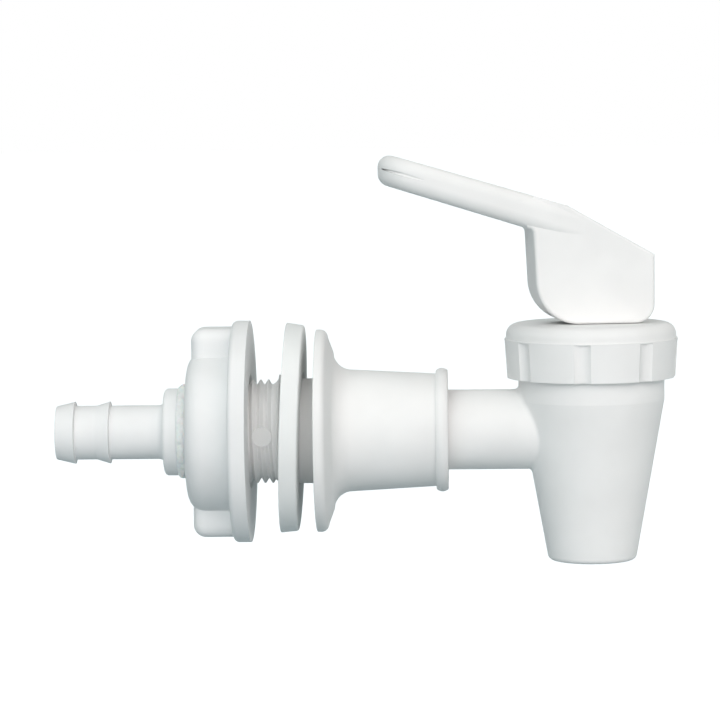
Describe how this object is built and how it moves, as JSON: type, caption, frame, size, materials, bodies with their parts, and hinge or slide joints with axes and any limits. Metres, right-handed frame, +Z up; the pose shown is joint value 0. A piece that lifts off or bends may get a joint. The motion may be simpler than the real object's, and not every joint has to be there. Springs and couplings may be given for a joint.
{
  "type": "water dispenser spigot",
  "caption": "Push-lever spigot: conical spout with fluted bonnet and thumb lever, on a flanged threaded shank with a loose washer and a wing nut that ends in a barbed hose tail.",
  "frame": {"origin": "on the shank's axis, at the wall washer's face towards the wing nut", "axes": "+X along the shank from hose tail to spout, +Z up, lever above the spout"},
  "size_m": [0.1196, 0.0426, 0.0783],
  "materials": {
    "body_pp": "moulded, satin gloss",
    "handle_pp": "moulded, satin gloss",
    "shank_pp": "moulded, satin",
    "nut_pp": "moulded, satin",
    "tail_pp": "moulded, satin",
    "washer_pe": "moulded, matt",
    "adhesive": "set adhesive, uneven",
    "acetal": "moulded, satin",
    "silicone": "moulded, matt",
    "nitrile": "moulded, matt",
    "stainless": "drawn wire"
  },
  "bodies": {
    "root": {"shank": "shank_pp", "spout_body": "body_pp", "tube_gasket": "silicone", "bonnet_gasket": "silicone", "bonnet_cap": "body_pp"},
    "washer": {"wall_washer": "washer_pe"},
    "nut_seal": {"nut_gasket": "silicone"},
    "nut": {"wing_nut": "nut_pp", "hose_tail": "tail_pp", "glue_bead": "adhesive"},
    "swivel": {"spring_washer": "acetal", "return_spring": "stainless"},
    "stem": {"valve_stem": "acetal", "seat_cup": "silicone", "stem_o_ring": "nitrile"},
    "handle": {"handle_lever": "handle_pp", "hinge_pin": "stainless"}
  },
  "joints": [
    {"name": "washer_slide", "type": "slide", "parent": "root", "child": "washer", "axis": [1, 0, 0], "range_m": [0, 0.0021]},
    {"name": "nut_travel", "type": "slide", "parent": "root", "child": "nut_seal", "axis": [1, 0, 0], "range_m": [-0.00601, 0.00105]},
    {"name": "nut_turn", "type": "hinge", "parent": "nut_seal", "child": "nut", "pos_m": [0, 0, 0], "axis": [1, 0, 0], "range_deg": [-1440, 250]},
    {"name": "lever_swivel", "type": "hinge", "parent": "root", "child": "swivel", "pos_m": [0.05935, 0, 0.0204], "axis": [0, 0, 1], "continuous": true},
    {"name": "stem_lift", "type": "slide", "parent": "swivel", "child": "stem", "axis": [0, 0, 1], "range_m": [0, 0.00194], "deforming": ["return_spring"]},
    {"name": "lever_tilt", "type": "hinge", "parent": "stem", "child": "handle", "pos_m": [0.05935, 0, 0.0288], "axis": [0.1478, -0.989, 0], "range_deg": [0, 35], "stiffness_Nm_per_rad": 0.00764, "springref_deg": -109.15}
  ],
  "couplings": [
    {"joint": "nut_travel", "follows": "nut_turn", "m_per_rad": 0.00023873},
    {"joint": "stem_lift", "follows": "lever_tilt", "m_per_rad": 0.00315}
  ]
}
